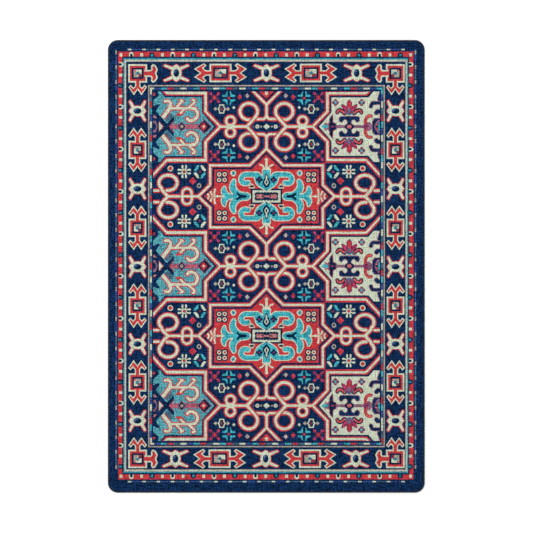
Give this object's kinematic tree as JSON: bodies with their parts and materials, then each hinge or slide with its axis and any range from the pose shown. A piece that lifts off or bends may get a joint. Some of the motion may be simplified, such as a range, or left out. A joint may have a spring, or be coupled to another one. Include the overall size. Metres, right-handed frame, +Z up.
{
  "type": "area rug",
  "caption": "Low-pile rectangular area rug with rounded corners, a serged edge and a woven backing; lies flat on a floor.",
  "frame": {"origin": "centre of the underside, on the floor", "axes": "+X across the rug's width, +Y along its length, +Z up through the pile"},
  "size_m": [1.6, 2.286, 0.0095],
  "materials": {
    "pile_navy": "matt dyed nylon pile, navy ground",
    "pile_red": "matt dyed nylon pile, coral red",
    "pile_crimson": "matt dyed nylon pile, deep crimson",
    "pile_ivory": "matt dyed nylon pile, warm ivory",
    "pile_sand": "matt dyed nylon pile, greyed sand",
    "pile_turquoise": "matt dyed nylon pile, turquoise",
    "pile_teal": "matt dyed nylon pile, dark teal",
    "pile_mauve": "matt dyed nylon pile, dusty mauve",
    "pile_salmon": "matt dyed nylon pile, salmon",
    "pile_blue": "matt dyed nylon pile, violet blue",
    "serging_yarn": "near-black navy yarn, whipped round the edge",
    "primary_cloth": "plain woven polypropylene",
    "cured_latex": "matt cured latex",
    "woven_backing": "open woven polypropylene, jute coloured",
    "label_cloth": "plain white spun cloth, blank"
  },
  "bodies": {
    "root": {"pile": "pile_navy", "serging": "serging_yarn", "primary_backing": "primary_cloth", "latex_layer": "cured_latex", "secondary_backing": "woven_backing", "care_label": "label_cloth"}
  },
  "joints": []
}
